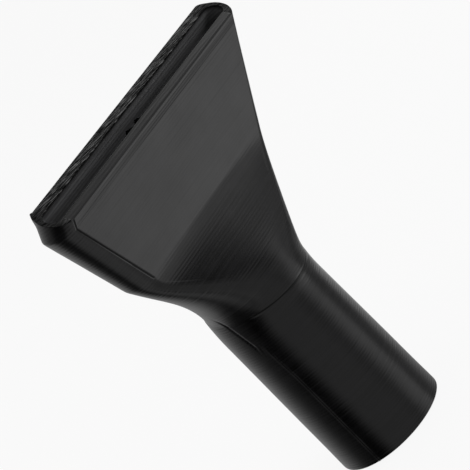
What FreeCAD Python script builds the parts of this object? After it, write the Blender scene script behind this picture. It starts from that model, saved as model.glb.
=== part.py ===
import FreeCAD, Part
import math
import os
import Sketcher

# Vacuum upholstery nozzle, printed in one piece.
# Frame: millimetres, the origin at the centre of the tube's open end, +Z up the tube's axis,
# +X along the mouth, and -Y towards the side that the nozzle leans to (its near side).

doc = FreeCAD.newDocument("UpholsteryNozzle")

SIZES = [
    # The tube that pushes over the vacuum's wand
    ("tube_length", 54.5),
    ("socket_width", 35.0),
    ("socket_depth", 40.0),
    ("socket_end_wall", 2.5),
    ("socket_neck_wall", 1.65),
    ("throat_step", 0.7),
    # The short elbow above the tube
    ("bend_radius", 46.0),
    ("neck_tilt", 12.0),
    # The loft from the round neck to the flat shoulder
    ("swell_height", 33.3),
    ("low_height", 7.0),
    ("low_width", 43.0),
    ("low_thickness", 34.5),
    ("low_corner", 16.0),
    ("high_height", 18.0),
    ("high_width", 56.6),
    ("high_thickness", 23.0),
    ("high_corner", 10.5),
    ("swell_shift", 1.2),
    ("shoulder_width", 79.0),
    ("shoulder_thickness", 12.2),
    ("shoulder_end_depth", 5.2),
    # The lip round the mouth, which the flat fan reaches from the shoulder
    ("mouth_distance", 69.9),
    ("mouth_shift", 5.6),
    ("mouth_tilt", 37.0),
    ("mouth_width", 106.0),
    ("mouth_thickness", 13.7),
    ("mouth_end_depth", 4.5),
    ("lip_height", 6.9),
    # Walls
    ("loft_wall", 2.4),
    ("shoulder_wall", 2.6),
    ("lip_wall", 3.6),
    ("end_wall", 1.6),
    ("inner_end_depth", 2.6),
    # The angle on the tube at which the round sections are divided
    ("round_split", 40.0),
]

sheet = doc.addObject("Spreadsheet::Sheet", "Sizes")
for row, (name, value) in enumerate(SIZES, start=1):
    sheet.set(f"A{row}", name)
    sheet.set(f"B{row}", str(value))
    sheet.setAlias(f"B{row}", name)
doc.recompute()


def size(name):
    """A driving size, read from the sheet."""
    return float(sheet.get(name))


# Radii round the socket, and places along the nozzle, as expressions of the sheet's sizes.
BORE = "Sizes.socket_width / 2"
THROAT = f"{BORE} - Sizes.throat_step"
TUBE_END = f"{BORE} + Sizes.socket_end_wall"
TUBE_NECK = f"{BORE} + Sizes.socket_neck_wall"
NECK_Y = "-Sizes.bend_radius * (1 - cos(Sizes.neck_tilt))"
NECK_Z = "(Sizes.tube_length + Sizes.bend_radius * sin(Sizes.neck_tilt))"


def along_neck(distance, shift="0"):
    """Y and Z of a point on the neck's straight axis, or shifted from it to the near side."""
    return (
        f"{NECK_Y} - ({distance}) * sin(Sizes.neck_tilt) - ({shift}) * cos(Sizes.neck_tilt)",
        f"{NECK_Z} + ({distance}) * cos(Sizes.neck_tilt) - ({shift}) * sin(Sizes.neck_tilt)",
    )


MOUTH_Y, MOUTH_Z = along_neck("Sizes.mouth_distance", "Sizes.mouth_shift")
LIP_Y = f"{MOUTH_Y} + Sizes.lip_height * sin(Sizes.mouth_tilt)"
LIP_Z = f"{MOUTH_Z} - Sizes.lip_height * cos(Sizes.mouth_tilt)"
# The lip is square to the mouth and starts in a plane square to the neck, which cuts it thicker.
LIP_SLANT = "cos(Sizes.mouth_tilt - Sizes.neck_tilt)"

body = doc.addObject("PartDesign::Body", "nozzle")
body.Label = "nozzle"
ORIGIN_PLANES = {f.Role: f for f in body.Origin.OriginFeatures}


def new_sketch(name, y="0", z="0", tilt="0"):
    """A sketch across the nozzle at height z, leaning towards -Y by the tilt."""
    sketch = body.newObject("Sketcher::SketchObject", name)
    sketch.AttachmentSupport = (ORIGIN_PLANES["XY_Plane"], [""])
    sketch.MapMode = "FlatFace"
    sketch.AttachmentOffset = FreeCAD.Placement(
        FreeCAD.Vector(0, 0, 0), FreeCAD.Rotation(FreeCAD.Vector(1, 0, 0), 1.0)
    )
    sketch.setExpression("AttachmentOffset.Base.y", f"({y}) * 1 mm")
    sketch.setExpression("AttachmentOffset.Base.z", f"({z}) * 1 mm")
    sketch.setExpression("AttachmentOffset.Rotation.Angle", f"({tilt}) * 1 deg")
    return sketch


START, END, CENTRE = range(1, 4)
ORIGIN = (-1, 1)
X_AXIS, Y_AXIS = -1, -2
TOP, RIGHT, BOTTOM, LEFT = range(4)


def arc(centre_x, centre_y, radius, start, end):
    """An arc about a centre, counter-clockwise between two angles in radians."""
    circle = Part.Circle(FreeCAD.Vector(centre_x, centre_y, 0), FreeCAD.Vector(0, 0, 1), radius)
    return Part.ArcOfCircle(circle, start, end)


def bind(sketch, kind, arguments, name, expression):
    """A named dimension of a sketch, bound to an expression of the sheet's sizes."""
    index = sketch.addConstraint(Sketcher.Constraint(kind, *arguments))
    sketch.renameConstraint(index, name)
    sketch.setExpression(f"Constraints.{name}", expression)


def value_of(sketch, expression):
    """The number that an expression of the sheet's sizes gives."""
    return float(sketch.evalExpression(expression))


def close_outline(sketch, tangent_joint):
    """Joins the four edges of an outline end to end, the same on both sides of both axes."""
    first = "Tangent" if tangent_joint else "Coincident"
    sketch.addConstraint(Sketcher.Constraint(first, RIGHT, END, TOP, START))
    sketch.addConstraint(Sketcher.Constraint("Coincident", TOP, END, LEFT, START))
    sketch.addConstraint(Sketcher.Constraint("Coincident", LEFT, END, BOTTOM, START))
    sketch.addConstraint(Sketcher.Constraint("Coincident", BOTTOM, END, RIGHT, START))
    sketch.addConstraint(Sketcher.Constraint("Symmetric", TOP, START, TOP, END, Y_AXIS))
    sketch.addConstraint(Sketcher.Constraint("Symmetric", RIGHT, START, RIGHT, END, X_AXIS))
    sketch.addConstraint(Sketcher.Constraint("Symmetric", LEFT, START, LEFT, END, X_AXIS))


def draw_round(sketch, radius):
    """A circle in four arcs, divided at the split angle from the X axis."""
    r = value_of(sketch, radius)
    split = math.radians(size("round_split"))
    for start, end in (
        (split, math.pi - split),
        (-split, split),
        (math.pi + split, 2 * math.pi - split),
        (math.pi - split, math.pi + split),
    ):
        sketch.addGeometry(arc(0, 0, r, start, end))
    close_outline(sketch, tangent_joint=False)
    sketch.addConstraint(Sketcher.Constraint("Equal", TOP, BOTTOM))
    sketch.addConstraint(Sketcher.Constraint("Equal", LEFT, RIGHT))
    bind(sketch, "Radius", (TOP, r), "top_radius", radius)
    bind(sketch, "Radius", (RIGHT, r), "side_radius", radius)
    joint = (*ORIGIN, TOP, START)
    bind(sketch, "DistanceX", (*joint, r * math.cos(split)), "joint_x", f"({radius}) * cos(Sizes.round_split)")
    bind(sketch, "DistanceY", (*joint, r * math.sin(split)), "joint_y", f"({radius}) * sin(Sizes.round_split)")


def draw_oval(sketch, half_width, half_thickness, corner):
    """An oval of two long arcs and two corner arcs, tangent where they meet."""
    long_radius = (
        f"(({half_width}) ^ 2 - 2 * ({half_width}) * ({corner}) + ({half_thickness}) ^ 2)"
        f" / (2 * (({half_thickness}) - ({corner})))"
    )
    w, t, c, r = (value_of(sketch, e) for e in (half_width, half_thickness, corner, long_radius))
    joint = math.atan2(r - t, w - c)
    sketch.addGeometry(arc(0, t - r, r, joint, math.pi - joint))
    sketch.addGeometry(arc(w - c, 0, c, -joint, joint))
    sketch.addGeometry(arc(0, r - t, r, math.pi + joint, 2 * math.pi - joint))
    sketch.addGeometry(arc(c - w, 0, c, math.pi - joint, math.pi + joint))
    close_outline(sketch, tangent_joint=True)
    sketch.addConstraint(Sketcher.Constraint("Equal", TOP, BOTTOM))
    sketch.addConstraint(Sketcher.Constraint("Equal", LEFT, RIGHT))
    bind(sketch, "Radius", (TOP, r), "long_radius", long_radius)
    bind(sketch, "Radius", (RIGHT, c), "corner_radius", corner)
    bind(sketch, "DistanceX", (*ORIGIN, RIGHT, CENTRE, w - c), "corner_x", f"({half_width}) - ({corner})")


def draw_slot(sketch, half_width, half_thickness, end_depth):
    """A slot: two straight sides, and at each end an arc as deep as given, which meets them in a crease."""
    end_radius = f"(({half_thickness}) ^ 2 + ({end_depth}) ^ 2) / (2 * ({end_depth}))"
    w, t, d, r = (value_of(sketch, e) for e in (half_width, half_thickness, end_depth, end_radius))
    flat = w - d
    turn = math.atan2(t, r - d)
    sketch.addGeometry(Part.LineSegment(FreeCAD.Vector(flat, t, 0), FreeCAD.Vector(-flat, t, 0)))
    sketch.addGeometry(arc(w - r, 0, r, -turn, turn))
    sketch.addGeometry(Part.LineSegment(FreeCAD.Vector(-flat, -t, 0), FreeCAD.Vector(flat, -t, 0)))
    sketch.addGeometry(arc(r - w, 0, r, math.pi - turn, math.pi + turn))
    close_outline(sketch, tangent_joint=False)
    bind(sketch, "Radius", (RIGHT, r), "right_radius", end_radius)
    bind(sketch, "Radius", (LEFT, r), "left_radius", end_radius)
    bind(sketch, "DistanceX", (*ORIGIN, TOP, START, flat), "flat_length", f"({half_width}) - ({end_depth})")
    bind(sketch, "DistanceY", (*ORIGIN, TOP, START, t), "side_distance", half_thickness)


def cross_section(name, place, draw, *outline):
    """A tilted sketch at a place (y, z, tilt) with an outline drawn in it."""
    sketch = new_sketch(name, *place)
    draw(sketch, *outline)
    doc.recompute()
    return sketch


def loft(name, kind, sections):
    """A loft through sections, the first one being its profile."""
    feature = body.newObject(kind, name)
    feature.Profile = sections[0]
    feature.Sections = sections[1:]
    doc.recompute()
    return feature


def turned(name, kind, points):
    """A solid or a cut turned about the Z axis from an outline of (radius, height) expressions."""
    sketch = body.newObject("Sketcher::SketchObject", name + "_outline")
    sketch.AttachmentSupport = (ORIGIN_PLANES["XZ_Plane"], [""])
    sketch.MapMode = "FlatFace"
    corners = [FreeCAD.Vector(value_of(sketch, x), value_of(sketch, z), 0) for x, z in points]
    for corner, following in zip(corners, corners[1:] + corners[:1]):
        sketch.addGeometry(Part.LineSegment(corner, following))
    count = len(points)
    for side in range(count):
        sketch.addConstraint(Sketcher.Constraint("Coincident", side, END, (side + 1) % count, START))
    for side, (x, z) in enumerate(points):
        bind(sketch, "DistanceX", (*ORIGIN, side, START, corners[side].x), f"radius{side}", x)
        bind(sketch, "DistanceY", (*ORIGIN, side, START, corners[side].y), f"height{side}", z)
    feature = body.newObject(kind, name)
    feature.Profile = sketch
    feature.ReferenceAxis = (sketch, ["V_Axis"])
    feature.Angle = 360.0
    doc.recompute()
    return feature


def elbow(name, kind, radius):
    """The bend from the tube to the neck, turned about a line beside the tube."""
    sketch = new_sketch(name + "_outline", z="Sizes.tube_length")
    sketch.addGeometry(
        Part.Circle(FreeCAD.Vector(0, 0, 0), FreeCAD.Vector(0, 0, 1), value_of(sketch, radius))
    )
    sketch.addConstraint(Sketcher.Constraint("Coincident", 0, CENTRE, *ORIGIN))
    bind(sketch, "Radius", (0, value_of(sketch, radius)), "pipe_radius", radius)
    bend = size("bend_radius")
    line = Part.LineSegment(FreeCAD.Vector(-bend, -bend, 0), FreeCAD.Vector(bend, -bend, 0))
    sketch.addGeometry(line, True)
    sketch.addConstraint(Sketcher.Constraint("Horizontal", 1))
    bind(sketch, "DistanceX", (*ORIGIN, 1, END, bend), "axis_reach", "Sizes.bend_radius")
    bind(sketch, "DistanceX", (1, START, 1, END, 2 * bend), "axis_length", "2 * Sizes.bend_radius")
    bind(sketch, "DistanceY", (1, START, *ORIGIN, bend), "axis_distance", "Sizes.bend_radius")
    feature = body.newObject(kind, name)
    feature.Profile = sketch
    feature.ReferenceAxis = (sketch, ["Axis0"])
    feature.setExpression("Angle", "Sizes.neck_tilt")
    doc.recompute()
    return feature


# Places (y, z, tilt) of the sections
NECK = (NECK_Y, NECK_Z, "Sizes.neck_tilt")
LOW = (*along_neck("Sizes.low_height", "Sizes.swell_shift / 2"), "Sizes.neck_tilt")
HIGH = (*along_neck("Sizes.high_height", "Sizes.swell_shift"), "Sizes.neck_tilt")
SHOULDER = (*along_neck("Sizes.swell_height"), "Sizes.neck_tilt")
LIP = (LIP_Y, LIP_Z, "Sizes.neck_tilt")
MOUTH = (MOUTH_Y, MOUTH_Z, "Sizes.mouth_tilt")

# The outside
turned(
    "tube",
    "PartDesign::Revolution",
    [
        ("0", "0"),
        (TUBE_END, "0"),
        (TUBE_NECK, "Sizes.tube_length"),
        ("0", "Sizes.tube_length"),
    ],
)
elbow("bend", "PartDesign::Revolution", TUBE_NECK)
neck_outside = cross_section("neck_outside", NECK, draw_round, TUBE_NECK)
low_outside = cross_section(
    "low_outside", LOW, draw_oval,
    "Sizes.low_width / 2", "Sizes.low_thickness / 2", "Sizes.low_corner",
)
high_outside = cross_section(
    "high_outside", HIGH, draw_oval,
    "Sizes.high_width / 2", "Sizes.high_thickness / 2", "Sizes.high_corner",
)
shoulder_outside = cross_section(
    "shoulder_outside", SHOULDER, draw_slot,
    "Sizes.shoulder_width / 2", "Sizes.shoulder_thickness / 2", "Sizes.shoulder_end_depth",
)
lip_outside = cross_section(
    "lip_outside", LIP, draw_slot,
    "Sizes.mouth_width / 2", f"Sizes.mouth_thickness / 2 / {LIP_SLANT}", "Sizes.mouth_end_depth",
)
mouth_outside = cross_section(
    "mouth_outside", MOUTH, draw_slot,
    "Sizes.mouth_width / 2", "Sizes.mouth_thickness / 2", "Sizes.mouth_end_depth",
)
loft("swell", "PartDesign::AdditiveLoft", [neck_outside, low_outside, high_outside, shoulder_outside])
loft("fan", "PartDesign::AdditiveLoft", [shoulder_outside, lip_outside])
loft("lip", "PartDesign::AdditiveLoft", [lip_outside, mouth_outside])

# The hollow, from the wand's socket to the mouth
turned(
    "socket",
    "PartDesign::Groove",
    [
        ("0", "0"),
        (BORE, "0"),
        (BORE, "Sizes.socket_depth"),
        (THROAT, "Sizes.tube_length"),
        ("0", "Sizes.tube_length"),
    ],
)
elbow("bend_hollow", "PartDesign::Groove", THROAT)
neck_inside = cross_section("neck_inside", NECK, draw_round, THROAT)
low_inside = cross_section(
    "low_inside", LOW, draw_oval,
    "Sizes.low_width / 2 - Sizes.loft_wall",
    "Sizes.low_thickness / 2 - Sizes.loft_wall",
    "Sizes.low_corner - Sizes.loft_wall",
)
high_inside = cross_section(
    "high_inside", HIGH, draw_oval,
    "Sizes.high_width / 2 - Sizes.loft_wall",
    "Sizes.high_thickness / 2 - Sizes.loft_wall",
    "Sizes.high_corner - Sizes.loft_wall",
)
shoulder_inside = cross_section(
    "shoulder_inside", SHOULDER, draw_slot,
    "Sizes.shoulder_width / 2 - Sizes.end_wall",
    "Sizes.shoulder_thickness / 2 - Sizes.shoulder_wall",
    "Sizes.inner_end_depth",
)
lip_inside = cross_section(
    "lip_inside", LIP, draw_slot,
    "Sizes.mouth_width / 2 - Sizes.end_wall",
    f"(Sizes.mouth_thickness / 2 - Sizes.lip_wall) / {LIP_SLANT}",
    "Sizes.inner_end_depth",
)
mouth_inside = cross_section(
    "mouth_inside", MOUTH, draw_slot,
    "Sizes.mouth_width / 2 - Sizes.end_wall",
    "Sizes.mouth_thickness / 2 - Sizes.lip_wall",
    "Sizes.inner_end_depth",
)
loft("swell_hollow", "PartDesign::SubtractiveLoft", [neck_inside, low_inside, high_inside, shoulder_inside])
loft("fan_hollow", "PartDesign::SubtractiveLoft", [shoulder_inside, lip_inside])
loft("lip_hollow", "PartDesign::SubtractiveLoft", [lip_inside, mouth_inside])

# Every object has to be sound before anything is written
for item in doc.Objects:
    if "Invalid" in item.State or "Error" in item.State:
        raise RuntimeError(f"{item.Label} did not build: {item.State}")
sub_parts = [body]
for sub_part in sub_parts:
    shape = sub_part.Shape
    if shape.isNull() or not shape.isValid() or len(shape.Solids) != 1:
        raise RuntimeError(f"{sub_part.Label} is not one sound solid")

os.makedirs("parts", exist_ok=True)
for sub_part in sub_parts:
    sub_part.Shape.exportStep(f"parts/{sub_part.Label}.step")
    box = sub_part.Shape.BoundBox
    print(f"{sub_part.Label}: {box.XLength:.1f} x {box.YLength:.1f} x {box.ZLength:.1f} mm,"
          f" {sub_part.Shape.Volume / 1000:.1f} cubic centimetres")
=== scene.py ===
import math

import bpy
import numpy as np
from mathutils import Matrix, Vector


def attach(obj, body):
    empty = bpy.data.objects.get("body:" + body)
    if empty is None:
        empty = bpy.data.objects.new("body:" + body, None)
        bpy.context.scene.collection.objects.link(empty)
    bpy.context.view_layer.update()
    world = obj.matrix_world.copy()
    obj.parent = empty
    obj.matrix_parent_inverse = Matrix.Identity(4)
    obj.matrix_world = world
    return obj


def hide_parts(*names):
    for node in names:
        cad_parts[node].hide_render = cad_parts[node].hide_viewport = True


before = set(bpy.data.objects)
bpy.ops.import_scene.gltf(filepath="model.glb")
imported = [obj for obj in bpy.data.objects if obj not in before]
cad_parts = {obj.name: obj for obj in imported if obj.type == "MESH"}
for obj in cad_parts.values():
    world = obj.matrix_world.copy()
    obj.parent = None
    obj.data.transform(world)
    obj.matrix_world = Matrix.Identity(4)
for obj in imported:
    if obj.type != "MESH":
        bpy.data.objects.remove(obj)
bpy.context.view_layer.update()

# Vacuum upholstery nozzle, printed in one piece of black plastic.
# The frame's origin is the centre of the tube's open end, +Z is up the tube, +X is along the
# mouth, and -Y is the near side, to which the nozzle leans. Lengths are in millimetres, and
# the mesh is made in metres.
MM = 0.001

# The tube and the elbow
TUBE_LENGTH = 54.5
TUBE_END_RADIUS = 20.0
TUBE_NECK_RADIUS = 19.15
SOCKET_RADIUS = 17.5
SOCKET_DEPTH = 40.0
THROAT_RADIUS = 16.8
BEND_RADIUS = 46.0
NECK_TILT = math.radians(12.0)
# The angle from the X axis at which a round ring's edges meet
ROUND_SPLIT = math.radians(40.0)
# The ovals between the round neck and the flat shoulder: height up the neck, half width, half
# thickness, corner radius and shift to the near side
LOW_OVAL = (7.0, 21.5, 17.25, 16.0, 0.6)
HIGH_OVAL = (18.0, 28.3, 11.5, 10.5, 1.2)
# The slots of the shoulder and the mouth: half width, half thickness and end depth
SHOULDER_HEIGHT = 33.3
SHOULDER_SLOT = (39.5, 6.1, 5.2)
MOUTH_SLOT = (53.0, 6.85, 4.5)
MOUTH_DISTANCE = 69.9
MOUTH_SHIFT = 5.6
MOUTH_TILT = math.radians(37.0)
LIP_HEIGHT = 6.9
# Walls
LOFT_WALL = 2.4
SHOULDER_WALL = 2.6
LIP_WALL = 3.6
END_WALL = 1.6
INNER_END_DEPTH = 2.6

# A ring's points lie along its four edges in turn, and the rings lie in stretches along the wall.
# Each edge and each stretch has a number of them, and two factors by which they are closer
# together at its start and its end, where the wall bends.
RIGHT, FAR, LEFT, NEAR = range(4)
EDGE_POINTS = ((40, 3, 3), (150, 3, 3), (90, 1.6, 1.6), (90, 9, 9))
STRETCH_RINGS = {
    "tube": (34, 9, 2),
    "bend": (16, 1, 4),
    "swell": (42, 4, 3),
    "fan": (30, 4, 5),
    "lip": (18, 4, 4),
    "rim": (34, 3, 3),
    "lip_inside": (12, 4, 2),
    "fan_inside": (16, 2, 2),
    "swell_inside": (20, 2, 2),
    "bend_inside": (6, 1, 1),
    "throat": (6, 1, 1),
    "socket": (14, 2, 8),
    "tube_rim": (10, 3, 3),
}
OUTER_STRETCHES = ("tube", "bend", "swell", "fan", "lip")
INNER_STRETCHES = ("lip_inside", "fan_inside", "swell_inside", "bend_inside", "throat", "socket")
# How soon the crowding falls off away from an end
CROWDING_POWER = 8


def crowded(count, start, end):
    """Fractions from 0 up to 1, which is left out, closer together by the factors at the two ends."""
    u = (np.arange(count) + 0.5) / count
    steps = 1 / (1 + (start - 1) * (1 - u) ** CROWDING_POWER + (end - 1) * u ** CROWDING_POWER)
    return np.concatenate(([0.0], np.cumsum(steps)[:-1])) / steps.sum()


RING_EDGES = [crowded(*points) for points in EDGE_POINTS]
EDGE_OF_COLUMN = np.repeat((RIGHT, FAR, LEFT, NEAR), [len(edge) for edge in RING_EDGES])


def arc(centre_x, centre_y, radius, start, end, fractions):
    """Points on an arc from one angle to another."""
    angles = start + (end - start) * fractions
    return np.stack((centre_x + radius * np.cos(angles), centre_y + radius * np.sin(angles)), axis=1)


def line(start_x, end_x, y, fractions):
    """Points on a line along X."""
    return np.stack((start_x + (end_x - start_x) * fractions, np.full(len(fractions), y)), axis=1)


def round_outline(radius):
    """A circle in four arcs."""
    right, far, left, near = RING_EDGES
    split = ROUND_SPLIT
    return np.concatenate((
        arc(0, 0, radius, -split, split, right),
        arc(0, 0, radius, split, math.pi - split, far),
        arc(0, 0, radius, math.pi - split, math.pi + split, left),
        arc(0, 0, radius, math.pi + split, 2 * math.pi - split, near),
    ))


def oval_outline(half_width, half_thickness, corner):
    """Two long arcs and two corner arcs, tangent where they meet."""
    right, far, left, near = RING_EDGES
    w, t, c = half_width, half_thickness, corner
    r = (w * w - 2 * w * c + t * t) / (2 * (t - c))
    joint = math.atan2(r - t, w - c)
    return np.concatenate((
        arc(w - c, 0, c, -joint, joint, right),
        arc(0, t - r, r, joint, math.pi - joint, far),
        arc(c - w, 0, c, math.pi - joint, math.pi + joint, left),
        arc(0, r - t, r, math.pi + joint, 2 * math.pi - joint, near),
    ))


def slot_outline(half_width, half_thickness, end_depth):
    """Two straight sides, with an arc at each end that meets them in a crease."""
    right, far, left, near = RING_EDGES
    w, t, d = half_width, half_thickness, end_depth
    r = (t * t + d * d) / (2 * d)
    turn = math.atan2(t, r - d)
    return np.concatenate((
        arc(w - r, 0, r, -turn, turn, right),
        line(w - d, d - w, t, far),
        arc(r - w, 0, r, math.pi - turn, math.pi + turn, left),
        line(d - w, w - d, -t, near),
    ))


def along_neck(distance, shift=0.0):
    """Y and Z of a point on the neck's axis, or shifted from it to the near side."""
    neck_y = -BEND_RADIUS * (1 - math.cos(NECK_TILT))
    neck_z = TUBE_LENGTH + BEND_RADIUS * math.sin(NECK_TILT)
    y = neck_y - distance * math.sin(NECK_TILT) - shift * math.cos(NECK_TILT)
    z = neck_z + distance * math.cos(NECK_TILT) - shift * math.sin(NECK_TILT)
    return y, z


def placed(outline, y, z, tilt=0.0):
    """A ring of points: an outline set in a plane that leans to -Y."""
    x, across = outline.T
    return np.stack((x, y + across * math.cos(tilt), z + across * math.sin(tilt)), axis=1)


def straight(fractions, first, last):
    """Rings on straight lines from one ring to another."""
    return [first + (last - first) * f for f in fractions]


def curved(fractions, rings):
    """Rings on smooth curves through four rings, spaced by the mean distance between them."""
    steps = [np.linalg.norm(b - a, axis=1).mean() for a, b in zip(rings, rings[1:])]
    knots = np.concatenate(([0.0], np.cumsum(steps)))
    result = []
    for height in knots[-1] * fractions:
        ring = np.zeros_like(rings[0])
        for own, knot in enumerate(knots):
            others = np.delete(knots, own)
            ring += np.prod((height - others) / (knot - others)) * rings[own]
        result.append(ring)
    return result


def round_ring(radius, z):
    return placed(round_outline(radius), 0.0, z)


def bend_rings(radius, fractions):
    """Rings round the elbow, from the tube to the neck."""
    rings = []
    for tilt in NECK_TILT * fractions:
        y = -BEND_RADIUS * (1 - math.cos(tilt))
        z = TUBE_LENGTH + BEND_RADIUS * math.sin(tilt)
        rings.append(placed(round_outline(radius), y, z, tilt))
    return rings


def head_sections(neck_radius, loft_wall=0, shoulder_wall=0, lip_wall=0, end_wall=0, end_depth=None):
    """The rings of the neck, the ovals, the shoulder, the lip's base and the mouth."""
    neck = placed(round_outline(neck_radius), *along_neck(0), NECK_TILT)
    ovals = []
    for height, w, t, c, shift in (LOW_OVAL, HIGH_OVAL):
        outline = oval_outline(w - loft_wall, t - loft_wall, c - loft_wall)
        ovals.append(placed(outline, *along_neck(height, shift), NECK_TILT))
    w, t, d = SHOULDER_SLOT
    outline = slot_outline(w - end_wall, t - shoulder_wall, end_depth or d)
    shoulder = placed(outline, *along_neck(SHOULDER_HEIGHT), NECK_TILT)
    w, t, d = MOUTH_SLOT
    half = t - lip_wall
    mouth_y, mouth_z = along_neck(MOUTH_DISTANCE, MOUTH_SHIFT)
    lip_y = mouth_y + LIP_HEIGHT * math.sin(MOUTH_TILT)
    lip_z = mouth_z - LIP_HEIGHT * math.cos(MOUTH_TILT)
    slanted = half / math.cos(MOUTH_TILT - NECK_TILT)
    lip = placed(slot_outline(w - end_wall, slanted, end_depth or d), lip_y, lip_z, NECK_TILT)
    mouth = placed(slot_outline(w - end_wall, half, end_depth or d), mouth_y, mouth_z, MOUTH_TILT)
    return neck, *ovals, shoulder, lip, mouth


def shell_rings():
    """The wall's rings by stretch: up the outside, over the rim, down the inside and over the tube's end."""
    outside = head_sections(TUBE_NECK_RADIUS)
    inside = head_sections(THROAT_RADIUS, LOFT_WALL, SHOULDER_WALL, LIP_WALL, END_WALL, INNER_END_DEPTH)
    tube_end, tube_top = round_ring(TUBE_END_RADIUS, 0), round_ring(TUBE_NECK_RADIUS, TUBE_LENGTH)
    socket_end, socket_top = round_ring(SOCKET_RADIUS, 0), round_ring(SOCKET_RADIUS, SOCKET_DEPTH)
    throat_top = round_ring(THROAT_RADIUS, TUBE_LENGTH)
    spaced = {name: crowded(*rings) for name, rings in STRETCH_RINGS.items()}
    return {
        "tube": straight(spaced["tube"], tube_end, tube_top),
        "bend": bend_rings(TUBE_NECK_RADIUS, spaced["bend"]),
        "swell": curved(spaced["swell"], outside[:4]),
        "fan": straight(spaced["fan"], outside[3], outside[4]),
        "lip": straight(spaced["lip"], outside[4], outside[5]),
        "rim": straight(spaced["rim"], outside[5], inside[5]),
        "lip_inside": straight(spaced["lip_inside"], inside[5], inside[4]),
        "fan_inside": straight(spaced["fan_inside"], inside[4], inside[3]),
        "swell_inside": curved(1 - spaced["swell_inside"], inside[:4]),
        "bend_inside": bend_rings(THROAT_RADIUS, 1 - spaced["bend_inside"]),
        "throat": straight(spaced["throat"], throat_top, socket_top),
        "socket": straight(spaced["socket"], socket_top, socket_end),
        "tube_rim": straight(spaced["tube_rim"], socket_end, tube_end),
    }


ROUNDING_PASSES = 3


def soften(points):
    """Rounds the creases a little, as a nozzle's drawn plastic does, by averaging with the neighbours."""
    for _ in range(ROUNDING_PASSES):
        for axis in (0, 1):
            points = 0.5 * points + 0.25 * (np.roll(points, 1, axis) + np.roll(points, -1, axis))
    return points


def outward(points):
    """The wall's normals, from each point's neighbours along and round the shell."""
    along = np.roll(points, -1, 0) - np.roll(points, 1, 0)
    around = np.roll(points, -1, 1) - np.roll(points, 1, 1)
    normals = np.cross(around, along)
    return normals / np.linalg.norm(normals, axis=2, keepdims=True)


def hump(distance, half_width):
    """1 on a line, falling smoothly to 0 at the half width from it."""
    return np.cos(np.clip(distance / half_width, -1, 1) * math.pi / 2) ** 2


def ease(value, low, high):
    """0 below the first value and 1 above the second, smooth between them."""
    u = np.clip((value - low) / (high - low), 0, 1)
    return u * u * (3 - 2 * u)


# The steps each way before the noise repeats
LATTICE_SIZE = 256


def lattice_noise(u, v, seed):
    """Smooth noise from -1 to 1 over two coordinates, one random value for each whole step of them."""
    values = np.random.default_rng(seed).uniform(-1, 1, (LATTICE_SIZE, LATTICE_SIZE))
    iu, iv = np.floor(u).astype(int), np.floor(v).astype(int)
    fu, fv = ease(u - iu, 0, 1), ease(v - iv, 0, 1)

    def pick(a, b):
        return values[a % LATTICE_SIZE, b % LATTICE_SIZE]

    low = pick(iu, iv) * (1 - fu) + pick(iu + 1, iv) * fu
    high = pick(iu, iv + 1) * (1 - fu) + pick(iu + 1, iv + 1) * fu
    return low * (1 - fv) + high * fv


def uneven(position, share, seed, row=0):
    """A factor that wanders with the position, from 1 down to 1 less twice the share."""
    return 1 - share + share * lattice_noise(position, position * 0 + row, seed)


SEEDS = {"seam": 5, "strands": 11, "fine_strands": 12, "walls": 21, "layers": 22, "gap": 31, "scraps": 41}

# The seam where each printed layer starts: its angle on the tube, and how it veers to the far
# side over the elbow, in degrees from +X at heights up the tube
SEAM_HEIGHTS = (0.0, 37.0, 50.5, 53.0, 59.0, 64.5, 70.0)
SEAM_ANGLES = (200.6, 200.4, 198.0, 190.5, 186.9, 183.3, 180.0)
# It is a ridge up the tube, higher and lower in patches, and a groove over the elbow. The pairs
# are the heights over which the one ends and the other begins and ends.
SEAM_RIDGE = 0.26
SEAM_RIDGE_WIDTH = 0.55
SEAM_RIDGE_END = (50, 52)
SEAM_PATCH_LENGTH = 2.5
SEAM_UNEVEN = 0.25
SEAM_GROOVE = 0.34
SEAM_GROOVE_WIDTH = 0.5
SEAM_GROOVE_START = (50.5, 53)
SEAM_GROOVE_END = (66, 70)
# The joint line round the near side of the neck, and the angles over which it fades in
JOINT_DEPTH = 0.2
JOINT_WIDTH = 0.5
JOINT_ANGLES = (200.0, 216.0)
# The crease along the fan's left end
CREASE_DEPTH = 0.15
CREASE_WIDTH = 0.6
# The rough end of the print on the mouth's far side: how high its strands stand, how long and how
# wide they are, how they slant to the mouth, and the directions along and across them
STRAND_HEIGHT = 0.16
STRAND_LENGTH = 8.0
STRAND_WIDTH = 0.5
STRAND_SLANT = math.radians(-8.0)
STRAND_ALONG = (
    math.cos(STRAND_SLANT),
    math.sin(STRAND_SLANT) * math.cos(MOUTH_TILT),
    math.sin(STRAND_SLANT) * math.sin(MOUTH_TILT),
)
STRAND_ACROSS = (
    -math.sin(STRAND_SLANT),
    math.cos(STRAND_SLANT) * math.cos(MOUTH_TILT),
    math.cos(STRAND_SLANT) * math.sin(MOUTH_TILT),
)
# The finer strands among them: how many to the length and the width of one, and their share
FINE_TO_LENGTH = 2.3
FINE_TO_WIDTH = 1.9
FINE_SHARE = 0.5
# How much of the strands the rim's ends have, and the rest of the rim. They fade out towards its
# two edges, by the distance from its middle as a share of its width.
STRANDS_ON_ENDS = 0.8
STRANDS_ELSEWHERE = 0.06
STRAND_FADE = 0.56
# The gap under the last layers, on the slot's far side and ends
GAP_DEPTH = 0.5
GAP_WIDTH = 0.45
GAP_PATCH_LENGTH = 2.2
GAP_UNEVEN = 0.25
# The rounding of the rim's near edge
BEVEL_DEPTH = 0.1
BEVEL_WIDTH = 1.1
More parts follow.
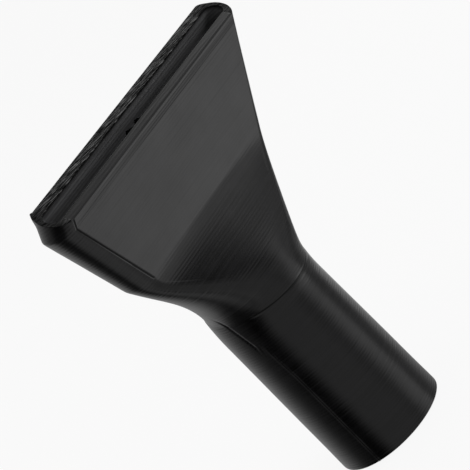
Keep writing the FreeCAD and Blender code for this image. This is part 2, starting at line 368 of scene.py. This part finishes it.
# The broad unevenness of the walls: its height, its lengths across and up, and where its noise
# starts. Then that of the layers.
WALL_WAVE = 0.035
WALL_WAVE_ACROSS = 17
WALL_WAVE_UP = 11
WALL_WAVE_START = 40
LAYER_WAVE = 0.006
LAYER_WAVE_UP = 0.9
LAYER_WAVE_START = 7
# The far corners of the mouth, drawn out along it to fuller ends
CORNER_STRETCH = 1.1
CORNER_WIDTH = 5.0
# The scrap that stands out from the rim's far left corner
CORNER_SCRAP_HEIGHT = 0.3
CORNER_SCRAP_WIDTH = 0.8


def neck_angle_and_height(points):
    """Degrees about the neck's axis and height along it."""
    neck_y, neck_z = along_neck(0)
    y, z = points[..., 1] - neck_y, points[..., 2] - neck_z
    height = z * math.cos(NECK_TILT) - y * math.sin(NECK_TILT)
    across = y * math.cos(NECK_TILT) + z * math.sin(NECK_TILT)
    return np.degrees(np.arctan2(across, points[..., 0])) % 360, height


def seam_relief(points, outer):
    """A fine ridge up the tube and a groove over the elbow."""
    x, y, z = np.moveaxis(points, 2, 0)
    radius = np.hypot(x, y)
    angle = np.degrees(np.arctan2(y, x)) % 360
    distance = np.radians(angle - np.interp(z, SEAM_HEIGHTS, SEAM_ANGLES)) * radius
    patchy = uneven(z / SEAM_PATCH_LENGTH, SEAM_UNEVEN, SEEDS["seam"])
    ridge = SEAM_RIDGE * patchy * hump(distance, SEAM_RIDGE_WIDTH) * (1 - ease(z, *SEAM_RIDGE_END))
    veer = ease(z, *SEAM_GROOVE_START)
    groove = SEAM_GROOVE * hump(distance, SEAM_GROOVE_WIDTH) * veer * (1 - ease(z, *SEAM_GROOVE_END))
    return (ridge - groove) * outer


def joint_relief(points, outer):
    """The groove of the joint line, square to the neck's axis."""
    angle, height = neck_angle_and_height(points)
    return -JOINT_DEPTH * hump(height, JOINT_WIDTH) * ease(angle, *JOINT_ANGLES) * outer


def crease_relief(points, fan):
    """The groove along the crease between the fan's left end and its near side."""
    crease = points[:, EDGE_OF_COLUMN == NEAR][:, :1]
    distance = np.linalg.norm(points - crease, axis=2)
    return -CREASE_DEPTH * hump(distance, CREASE_WIDTH) * fan


def strand_relief(points, rim):
    """The rim's strands, which run at a slant and break up along their length."""
    along = points @ np.array(STRAND_ALONG) / STRAND_LENGTH
    across = points @ np.array(STRAND_ACROSS) / STRAND_WIDTH
    coarse = lattice_noise(along, across, SEEDS["strands"])
    fine = lattice_noise(along * FINE_TO_LENGTH, across * FINE_TO_WIDTH, SEEDS["fine_strands"])
    return STRAND_HEIGHT * (coarse + FINE_SHARE * fine) * rim


def gap_relief(points, distance, inside):
    """The gap below the rim's inner edge, deeper in some places than in others."""
    ragged = uneven(points[..., 0] / GAP_PATCH_LENGTH, GAP_UNEVEN, SEEDS["gap"])
    return -GAP_DEPTH * ragged * hump(distance - GAP_WIDTH, GAP_WIDTH) * inside


def bevel_relief(distance, near):
    """The near edge of the rim, rounded off more than the others."""
    return -BEVEL_DEPTH * hump(distance, BEVEL_WIDTH) * near


def wave_relief(points, outer):
    """The slight unevenness of the outer walls."""
    x, y, z = np.moveaxis(points, 2, 0)
    across, up = (x + y) / WALL_WAVE_ACROSS, z / WALL_WAVE_UP
    broad = lattice_noise(across + WALL_WAVE_START, up + WALL_WAVE_START, SEEDS["walls"])
    layers = lattice_noise(z / LAYER_WAVE_UP + LAYER_WAVE_START, x * 0, SEEDS["layers"])
    return (WALL_WAVE * broad + LAYER_WAVE * layers) * outer


def shell_points():
    """The wall's points with their fine relief, each ring's stretch, and the points that lie in a groove."""
    stretches = shell_rings()
    points = soften(np.stack([ring for rings in stretches.values() for ring in rings]))
    names = np.array([name for name, rings in stretches.items() for _ in rings])
    normals = outward(points)

    def on(*stretch_names):
        return np.isin(names, stretch_names).astype(float)[:, None]

    def beside(*edges):
        return np.isin(EDGE_OF_COLUMN, edges).astype(float)

    def distance_from(place):
        return np.linalg.norm(points - place, axis=2)

    outer, far, ends = on(*OUTER_STRETCHES), beside(FAR), beside(LEFT, RIGHT)
    outer_edge, inner_edge = (points[names == name][0] for name in ("rim", "lip_inside"))
    far_left, far_right = (outer_edge[EDGE_OF_COLUMN == edge][0] for edge in (LEFT, FAR))
    from_left, from_right = distance_from(far_left), distance_from(far_right)

    over_rim = np.zeros(len(names))
    over_rim[names == "rim"] = np.linspace(0, 1, (names == "rim").sum())
    rim = on("rim") * hump(over_rim - 0.5, STRAND_FADE)[:, None]
    strands = rim * (far + STRANDS_ON_ENDS * ends + STRANDS_ELSEWHERE)

    joint = joint_relief(points, outer)
    crease = crease_relief(points, on("fan", "lip"))
    # The faces in these grooves get painted shade.
    grooves = (joint < -JOINT_DEPTH / 2) | (crease < -CREASE_DEPTH / 2)
    relief = sum((
        seam_relief(points, outer),
        joint,
        wave_relief(points, outer),
        crease,
        strand_relief(points, strands),
        bevel_relief(distance_from(outer_edge), beside(NEAR) * on("rim", "lip")),
        gap_relief(points, distance_from(inner_edge), (far + ends) * on("lip_inside")),
        CORNER_SCRAP_HEIGHT * hump(from_left, CORNER_SCRAP_WIDTH),
    ))
    stretch = (hump(from_right, CORNER_WIDTH) - hump(from_left, CORNER_WIDTH)) * on("rim", "lip")
    points = points + normals * relief[..., None]
    points[..., 0] += CORNER_STRETCH * stretch
    return points, names, grooves


# The wall's materials, by their numbers on the mesh
OUTSIDE, RIM, INSIDE, GROOVE_SHADE = range(4)


def add_nozzle(materials):
    """The whole wall as one closed mesh, with a material for its outside, rim, inside and grooves, the last
    of them painted shade.
    """
    points, names, grooves = shell_points()
    rows, columns = points.shape[:2]
    index = np.arange(rows * columns).reshape(rows, columns)
    above, beside = np.roll(index, -1, 0), np.roll(index, -1, 1)
    corners = np.stack((index, beside, np.roll(above, -1, 1), above), axis=2).reshape(-1, 4)
    mesh = bpy.data.meshes.new("nozzle_wall")
    mesh.from_pydata((points.reshape(-1, 3) * MM).tolist(), [], corners.tolist())
    for material in materials:
        mesh.materials.append(material)
    slots = np.where(np.isin(names, INNER_STRETCHES), INSIDE, OUTSIDE)[:, None].repeat(columns, axis=1)
    slots[np.ix_(names == "rim", EDGE_OF_COLUMN != NEAR)] = RIM
    # The groove faces take a dull, near-black material: painted shade.
    slots[grooves & (slots == OUTSIDE)] = GROOVE_SHADE
    mesh.polygons.foreach_set("material_index", slots.ravel().astype(np.int32))
    mesh.polygons.foreach_set("use_smooth", np.ones(rows * columns, dtype=bool))
    mesh.update()
    nozzle = bpy.data.objects.new("nozzle_wall", mesh)
    bpy.context.scene.collection.objects.link(nozzle)
    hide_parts("nozzle")
    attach(nozzle, "root")


# Two torn scraps on the slot's near edge, dull black as painted shade: from and to along the mouth
SCRAPS = ((-12.1, -8.1), (-6.9, -4.0))
SCRAP_STEPS = 28
# How far they reach into the slot, how long and how deep the notches of their edge are, the part
# of a sine's hump that their outline follows, and the power that makes it blunt
SCRAP_REACH = 1.5
SCRAP_NOTCH = 0.5
SCRAP_UNEVEN = 0.3
SCRAP_HUMP = (0.04, 0.97)
SCRAP_BLUNTNESS = 0.6
# How far down the wall they are rooted and how far into it, and the tip's share of the way down
SCRAP_ROOT = 0.8
SCRAP_SEAT = 0.1
SCRAP_TIP = 0.1


def add_scraps(material):
    """Ragged wedges that stand out into the slot from the rim's near inner edge, dull black as painted
    shade.
    """
    mouth_y, mouth_z = along_neck(MOUTH_DISTANCE, MOUTH_SHIFT)
    near_edge = LIP_WALL - MOUTH_SLOT[1]
    corners, faces = [], []
    for number, (first, last) in enumerate(SCRAPS):
        x = np.linspace(first, last, SCRAP_STEPS)
        ragged = uneven(x / SCRAP_NOTCH, SCRAP_UNEVEN, SEEDS["scraps"], number)
        taper = np.sin(np.linspace(*SCRAP_HUMP, SCRAP_STEPS) * math.pi) ** SCRAP_BLUNTNESS
        tip = near_edge + SCRAP_REACH * ragged * taper
        root, low = np.full_like(x, near_edge - SCRAP_SEAT), np.full_like(x, -SCRAP_ROOT)
        start = len(corners)
        for across, height in ((root, low * 0), (tip, low * SCRAP_TIP), (root, low)):
            y = mouth_y + across * math.cos(MOUTH_TILT) - height * math.sin(MOUTH_TILT)
            z = mouth_z + across * math.sin(MOUTH_TILT) + height * math.cos(MOUTH_TILT)
            corners.extend(zip(x * MM, y * MM, z * MM))
        row = [start + SCRAP_STEPS * side for side in range(3)]
        for a, b in ((0, 1), (1, 2), (2, 0)):
            for i in range(SCRAP_STEPS - 1):
                faces.append((row[a] + i, row[b] + i, row[b] + i + 1, row[a] + i + 1))
        faces.append((row[0], row[2], row[1]))
        faces.append(tuple(r + SCRAP_STEPS - 1 for r in row))
    mesh = bpy.data.meshes.new("edge_scraps")
    mesh.from_pydata(corners, [], faces)
    mesh.materials.append(material)
    mesh.update()
    scraps = bpy.data.objects.new("edge_scraps", mesh)
    bpy.context.scene.collection.objects.link(scraps)
    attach(scraps, "root")


# The camera, fitted to the photograph: its place in millimetres, the direction from the nozzle
# back to it, and its upward direction. The focal length is in pixels of a 470-pixel image.
CAMERA_PLACE = Vector((-325.7, -417.1, 212.5))
CAMERA_BACK = Vector((-0.607, -0.756, 0.244))
CAMERA_UP = Vector((0.658, -0.306, 0.688))
FOCAL_PIXELS = 1776.0
IMAGE_PIXELS = 470.0
SENSOR_WIDTH = 36.0
# The nearest and the farthest that it sees, in metres
NEAREST = 0.01
FARTHEST = 50.0


def camera_axes():
    """The camera's right, up and back directions, square to each other."""
    back = CAMERA_BACK.normalized()
    right = CAMERA_UP.cross(back).normalized()
    return right, back.cross(right), back


def add_camera():
    data = bpy.data.cameras.new("camera")
    data.sensor_width = SENSOR_WIDTH
    data.lens = FOCAL_PIXELS / IMAGE_PIXELS * SENSOR_WIDTH
    data.clip_start = NEAREST
    data.clip_end = FARTHEST
    camera = bpy.data.objects.new("camera", data)
    bpy.context.scene.collection.objects.link(camera)
    axes = Matrix(camera_axes()).transposed().to_4x4()
    camera.matrix_world = Matrix.Translation(CAMERA_PLACE * MM) @ axes
    bpy.context.scene.camera = camera


class Nodes:
    """A short way to add nodes to a tree and to link them."""

    def __init__(self, tree):
        self.tree = tree
        tree.nodes.clear()

    def add(self, kind, inputs=None, **settings):
        node = self.tree.nodes.new(kind)
        for name, value in settings.items():
            setattr(node, name, value)
        for socket, value in (inputs or {}).items():
            if isinstance(value, bpy.types.NodeSocket):
                self.tree.links.new(value, node.inputs[socket])
            else:
                node.inputs[socket].default_value = value
        return node

    def math(self, operation, first, second=0.0):
        return self.add("ShaderNodeMath", {0: first, 1: second}, operation=operation).outputs[0]

    def dot(self, vector, direction):
        node = self.add("ShaderNodeVectorMath", {0: vector, 1: direction}, operation="DOT_PRODUCT")
        return node.outputs["Value"]

    def part(self, vector, axis):
        return self.add("ShaderNodeSeparateXYZ", {0: vector}).outputs[axis]

    def ramp(self, value, low, high, out_low=0.0, out_high=1.0):
        inputs = {"Value": value, "From Min": low, "From Max": high, "To Min": out_low, "To Max": out_high}
        return self.add("ShaderNodeMapRange", inputs, interpolation_type="SMOOTHSTEP").outputs["Result"]

    def blend(self, factor, first, second):
        return self.add("ShaderNodeMix", {0: factor, 2: first, 3: second}, data_type="FLOAT").outputs[0]

    def noise(self, vector, scale, detail):
        inputs = {"Vector": vector, "Scale": scale, "Detail": detail}
        return self.add("ShaderNodeTexNoise", inputs).outputs["Fac"]

    def bump(self, height, depth, **more):
        inputs = {"Height": height, "Distance": depth * MM, **more}
        return self.add("ShaderNodeBump", inputs).outputs[0]


def new_material(name):
    """An empty node material, and its tree."""
    material = bpy.data.materials.new(name)
    material.use_nodes = True
    return material, Nodes(material.node_tree)


def grey(level):
    return (level, level, level, 1)


# The studio that the plastic mirrors: mid grey all round, a tall bright panel on the camera's
# right, a white wall behind the nozzle, and a dark room below
STUDIO_GREY = 0.39
STUDIO_WHITE = 1.0
# Its soft patches, fitted to the reflections in the photograph, each laid over those before it:
# degrees right of the camera and above its level, the radii of the full and of the fading part,
# and the brightness. Their directions are fixed in the part's frame.
STUDIO_PATCHES = (
    (-34, -68, 10, 38, 0.0),  # the dark room, below on the left
    (145, -86, 2, 38, 0.04),  # the dark room, straight below
    (100, -51, 2, 29, 0.53),  # a pale surface, low on the right
    (62, -56, 3, 11, 0.22),  # and its dark front edge
    (180, 40, 32, 42, 1.00),  # the white wall behind the nozzle
    (100, 9, 2, 16, 1.18),  # the panel's front edge
    (121, -8, 12, 21, 1.15),  # the panel's foot
    (79, 26, 2, 24, 0.82),  # the panel's upper front
    (74, 44, 8, 13, 0.90),  # and its top
    (144, -4, 5, 34, 0.15),  # the dark room beyond the panel
    (47, 28, 4, 29, 0.25),  # the dark room before the panel
    (-83, -40, 2, 38, 0.17),  # the dark room, low on the left
    (112, 55, 20, 24, 0.46),  # the grey ceiling over the panel
    (116, 27, 7, 16, 0.24),  # a dark gap behind the panel's top
    (98, 41, 5, 14, 0.42),  # and its grey border
    (54, 42, 4, 13, 0.12),  # a dark spot before the panel's top
    (-158, -38, 8, 24, 0.52),  # a pale surface, low behind the nozzle
)


def studio_direction(azimuth, elevation):
    """A direction in the part's frame, from degrees right of the camera and above its level."""
    right, up, back = camera_axes()
    a, e = math.radians(azimuth), math.radians(elevation)
    return right * math.sin(a) * math.cos(e) + up * math.sin(e) + back * math.cos(a) * math.cos(e)


def add_world():
    """The studio for reflections and for light, and plain white where the camera sees past the floor."""
    world = bpy.data.worlds.new("studio")
    bpy.context.scene.world = world
    world.use_nodes = True
    n = Nodes(world.node_tree)
    direction = n.add("ShaderNodeTexCoord").outputs["Generated"]
    light = STUDIO_GREY
    for azimuth, elevation, full, fading, level in STUDIO_PATCHES:
        nearness = n.dot(direction, studio_direction(azimuth, elevation))
        patch = n.ramp(nearness, math.cos(math.radians(fading)), math.cos(math.radians(full)))
        light = n.blend(patch, light, level)
    rays = n.add("ShaderNodeLightPath").outputs
    strength = n.blend(rays["Is Camera Ray"], light, STUDIO_WHITE)
    background = n.add("ShaderNodeBackground", {"Color": grey(1), "Strength": strength})
    n.add("ShaderNodeOutputWorld", {"Surface": background.outputs[0]})


# The paper floor: its size in metres, and how far it lies under the nozzle. The camera sees it
# through a share of plain white, and the rest keeps the nozzle's shadow.
FLOOR_SIZE = 12.0
FLOOR_DROP = 0.2
FLOOR_GREY = 0.9
FLOOR_WHITE_SHARE = 0.9


def add_floor():
    bpy.ops.mesh.primitive_plane_add(size=FLOOR_SIZE, location=(0, 0, -FLOOR_DROP * MM))
    floor = bpy.context.object
    floor.name = "floor"
    floor.visible_glossy = False
    material, n = new_material("floor_paper")
    diffuse = n.add("ShaderNodeBsdfDiffuse", {"Color": grey(FLOOR_GREY)})
    white = n.add("ShaderNodeEmission", {"Color": grey(1), "Strength": 1.0})
    share = n.math("MULTIPLY", n.add("ShaderNodeLightPath").outputs["Is Camera Ray"], FLOOR_WHITE_SHARE)
    mixed = n.add("ShaderNodeMixShader", {0: share, 1: diffuse.outputs[0], 2: white.outputs[0]})
    n.add("ShaderNodeOutputMaterial", {"Surface": mixed.outputs[0]})
    floor.data.materials.append(material)


NOZZLE_MIDDLE = Vector((0, -5, 70))


def add_lamp(name, azimuth, elevation, distance, size, power):
    """A square lamp that looks at the nozzle's middle, by degrees from the camera and metres away."""
    data = bpy.data.lights.new(name, "AREA")
    data.size = size
    data.energy = power
    lamp = bpy.data.objects.new(name, data)
    bpy.context.scene.collection.objects.link(lamp)
    direction = studio_direction(azimuth, elevation)
    lamp.location = NOZZLE_MIDDLE * MM + direction * distance
    lamp.rotation_mode = "QUATERNION"
    lamp.rotation_quaternion = direction.to_track_quat("Z", "Y")
    lamp.visible_glossy = False


# The plastic's layers: their pitch, and their share in a relief that is mostly fine lines, which
# are far longer round the wall than they are high
LAYER_HEIGHT = 0.95
LAYER_SHARE = 0.12
LINE_SPACING = 0.6
LINE_STRETCH = 50
# Its rougher and smoother patches, and its grain
PATCH_SIZE = 12.0
GRAIN_SIZE = 0.25
# The parts of a noise that the roughness and the painted shade of the layers follow
ROUGH_RANGE = (0.3, 0.7)
LAYER_SHADE_RANGE = (0.34, 0.66)
# The rim's plane, and the painted shade below its inner edge: where it starts and how little of the colour
# it leaves
RIM_NORMAL = (0.0, -math.sin(MOUTH_TILT), math.cos(MOUTH_TILT))
RIM_LEVEL = float(np.dot(RIM_NORMAL, (0.0, *along_neck(MOUTH_DISTANCE, MOUTH_SHIFT))))
PAINTED_SHADE_START = 0.5
PAINTED_SHADE_LEAST = 0.1


def plastic(name, base, contrast, roughness, spread, layer_depth, grain_depth, painted_shade_depth=0.0):
    """Black plastic with the fine lines of its layers, rougher in some places than in others, with painted
    shade in the hollows of its layers and, where a depth is given, painted shade below the rim.
    """
    material, n = new_material(name)
    place = n.add("ShaderNodeTexCoord").outputs["Object"]
    layer = n.math("SINE", n.math("MULTIPLY", n.part(place, "Z"), 2 * math.pi / (LAYER_HEIGHT * MM)))
    scale = (1 / LINE_STRETCH, 1 / LINE_STRETCH, 1.0)
    drawn = n.add("ShaderNodeMapping", {"Vector": place, "Scale": scale}).outputs[0]
    thread = n.noise(drawn, 1 / (LINE_SPACING * MM), detail=3)
    relief = n.math("ADD", thread, n.math("MULTIPLY", layer, LAYER_SHARE))
    lines = n.bump(relief, layer_depth)
    grain = n.noise(place, 1 / (GRAIN_SIZE * MM), detail=2)
    bumped = n.bump(grain, grain_depth, Normal=lines)
    patches = n.noise(place, 1 / (PATCH_SIZE * MM), detail=3)
    rough = n.ramp(patches, *ROUGH_RANGE, roughness - spread, roughness + spread)
    # Painted shade along the layer lines: the colour is darker in the relief's hollows and lighter on its
    # ridges.
    layer_shade = n.ramp(relief, *LAYER_SHADE_RANGE, 1 - contrast, 1 + contrast)
    # Painted shade: the colour darkens over the given depth below the rim's inner edge.
    if painted_shade_depth:
        below_rim = n.math("SUBTRACT", RIM_LEVEL * MM, n.dot(place, RIM_NORMAL))
        painted_shade = n.ramp(below_rim, PAINTED_SHADE_START * MM, painted_shade_depth * MM, PAINTED_SHADE_LEAST, 1.0)
        layer_shade = n.math("MULTIPLY", layer_shade, painted_shade)
    colour = n.add("ShaderNodeVectorMath", {0: base, "Scale": layer_shade}, operation="SCALE").outputs[0]
    inputs = {"Base Color": colour, "Roughness": rough, "Normal": bumped}
    shader = n.add("ShaderNodeBsdfPrincipled", inputs)
    n.add("ShaderNodeOutputMaterial", {"Surface": shader.outputs[0]})
    return material


# The torn plastic: the black between its strands, their fineness, the part of the noise that is painted pale
# as glints of reflected light, and how their roughness varies
TORN_BLACK = 0.001
STRAND_FINENESS = 1.6
GLINT_RANGE = (0.48, 0.68)
STRAND_SPREAD = 0.08
# How far along the mouth, from its middle, the strands keep their painted glints, and what is left of them
# at its ends
GLINT_REACH = 44.0
GLINT_LEAST = 0.1


def torn_plastic(name, light, roughness, gloss, depth):
    """The rough end of the print: strands at a slant, painted as light as given as glints of reflected
    light, over black.
    """
    material, n = new_material(name)
    place = n.add("ShaderNodeTexCoord").outputs["Object"]
    along = n.math("MULTIPLY", n.dot(place, STRAND_ALONG), 1 / (STRAND_LENGTH * MM))
    across = n.math("MULTIPLY", n.dot(place, STRAND_ACROSS), 1 / (STRAND_WIDTH * MM))
    stretched = n.add("ShaderNodeCombineXYZ", {"X": along, "Y": across}).outputs[0]
    strands = n.noise(stretched, STRAND_FINENESS, detail=3)
    relief = n.bump(strands, depth)
    # The pale strands are painted glints of reflected light; between them is the plastic's black.
    pale = n.ramp(strands, *GLINT_RANGE)
    from_middle = n.math("ABSOLUTE", n.part(place, "X"))
    glint_share = n.ramp(from_middle, GLINT_REACH * MM, MOUTH_SLOT[0] * MM, 1.0, GLINT_LEAST)
    inputs = {0: n.math("MULTIPLY", pale, glint_share), 6: grey(TORN_BLACK), 7: grey(light)}
    colour = n.add("ShaderNodeMix", inputs, data_type="RGBA").outputs[2]
    rough = n.ramp(strands, *ROUGH_RANGE, roughness - STRAND_SPREAD, roughness + STRAND_SPREAD)
    inputs = {"Base Color": colour, "Roughness": rough, "Specular IOR Level": gloss, "Normal": relief}
    shader = n.add("ShaderNodeBsdfPrincipled", inputs)
    n.add("ShaderNodeOutputMaterial", {"Surface": shader.outputs[0]})
    return material


def wall_materials():
    """The wall's materials, in the order of their numbers: outside, rim with painted glints, inside painted
    lighter, and grooves in painted shade.
    """
    return (
        plastic(
            "printed_plastic", base=(0.0025, 0.0024, 0.0027), contrast=0.7,
            roughness=0.2, spread=0.03, layer_depth=0.065, grain_depth=0.003,
        ),
        # The rim's strands are painted pale, as glints.
        torn_plastic("rim_painted_glints", light=0.15, roughness=0.3, gloss=0.08, depth=0.15),
        # The inside is the same black plastic painted a lighter grey, as painted light on the slot's walls.
        plastic(
            "inside_painted_light", base=(0.09, 0.09, 0.092), contrast=0.25,
            roughness=0.5, spread=0.05, layer_depth=0.05, grain_depth=0.004, painted_shade_depth=2.2,
        ),
        # Painted shade for the grooves: near black and duller than the outside.
        torn_plastic("groove_painted_shade", light=0.003, roughness=0.35, gloss=0.2, depth=0.05),
    )


add_camera()
add_world()
add_floor()
add_lamp("lamp_above", azimuth=80, elevation=50, distance=1.2, size=1.0, power=12.0)
add_nozzle(wall_materials())
# The scraps have no gloss, so they show as dark marks: painted shade.
add_scraps(torn_plastic("scrap_painted_shade", light=0.004, roughness=0.6, gloss=0.0, depth=0.1))

bpy.context.scene.view_settings.view_transform = "Standard"
